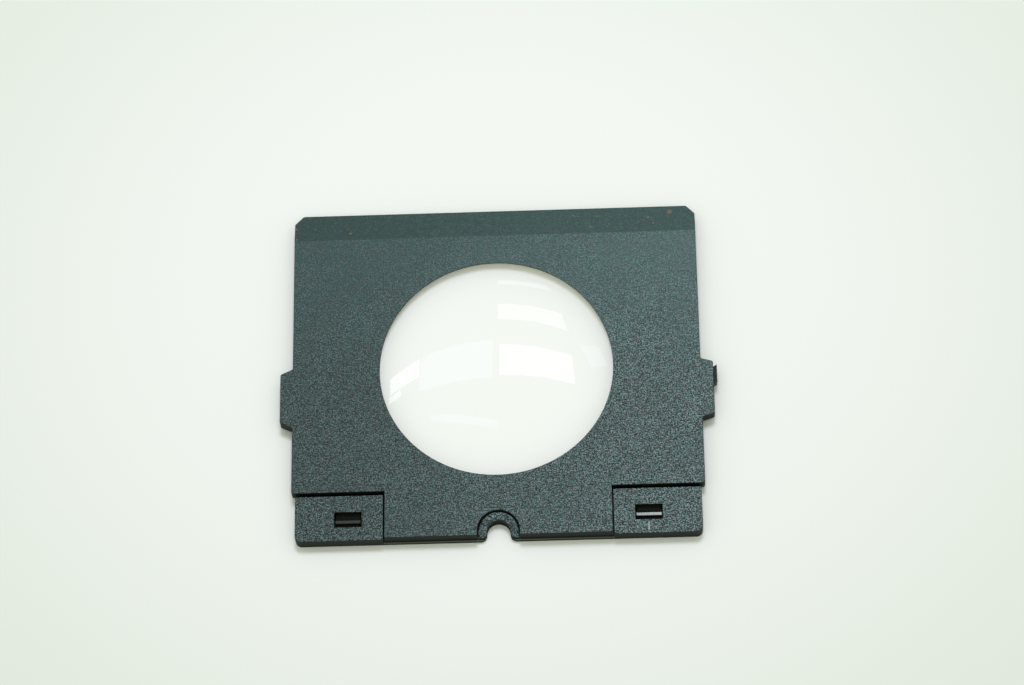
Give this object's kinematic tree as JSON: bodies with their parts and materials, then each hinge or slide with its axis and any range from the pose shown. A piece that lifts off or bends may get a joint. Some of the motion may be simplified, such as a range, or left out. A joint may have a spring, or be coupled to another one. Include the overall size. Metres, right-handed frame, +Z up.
{
  "type": "negative carrier",
  "caption": "Thin two-half black moulded enlarger carrier with a large domed glass condenser lens, side tabs, front corner pads with catch windows and a half-round finger notch.",
  "frame": {"origin": "on the lens axis, in the plane that the closed carrier rests on", "axes": "+Z up through the domed side of the lens, +X to the right (the detent's side), +Y to the rear (the hinge)"},
  "size_m": [0.1305, 0.108, 0.0128],
  "materials": {
    "upper_plastic": "spark-eroded black",
    "lower_plastic": "spark-eroded black",
    "lens_glass": "polished, uncoated",
    "spring_wire": "drawn spring wire",
    "catch_plastic": "smooth black",
    "spring_steel": "rolled strip",
    "cover_metal": "black oxide sheet",
    "screw_metal": "black zinc",
    "pin_steel": "ground",
    "leaf_steel": "blackened spring strip"
  },
  "bodies": {
    "base": {"lower_plate": "lower_plastic", "left_hinge_pin": "pin_steel", "right_hinge_pin": "pin_steel", "left_catch_spring": "spring_steel", "right_catch_spring": "spring_steel", "left_catch_cover": "cover_metal", "right_catch_cover": "cover_metal", "catch_cover_screws": "screw_metal"},
    "cover": {"upper_plate": "upper_plastic", "condenser_lens": "lens_glass", "lens_snap_ring": "spring_wire"},
    "left_catch": {"left_catch": "catch_plastic"},
    "right_catch": {"right_catch": "catch_plastic"},
    "detent": {"detent_leaf": "leaf_steel"}
  },
  "joints": [
    {"name": "cover_hinge", "type": "hinge", "parent": "base", "child": "cover", "pos_m": [0, 0.0524, 0.0011], "axis": [-1, 0, 0], "range_deg": [0, 90]},
    {"name": "left_catch_slide", "type": "slide", "parent": "base", "child": "left_catch", "axis": [0, -1, 0], "range_m": [0, 0.0009], "stiffness_N_per_m": 500, "springref_m": -0.0004, "deforming": ["left_catch_spring"]},
    {"name": "right_catch_slide", "type": "slide", "parent": "base", "child": "right_catch", "axis": [0, -1, 0], "range_m": [0, 0.0009], "stiffness_N_per_m": 500, "springref_m": -0.0004, "deforming": ["right_catch_spring"]},
    {"name": "detent_press", "type": "slide", "parent": "cover", "child": "detent", "axis": [-1, 0, 0], "range_m": [0, 0.0009], "stiffness_N_per_m": 800, "springref_m": -0.0004}
  ]
}
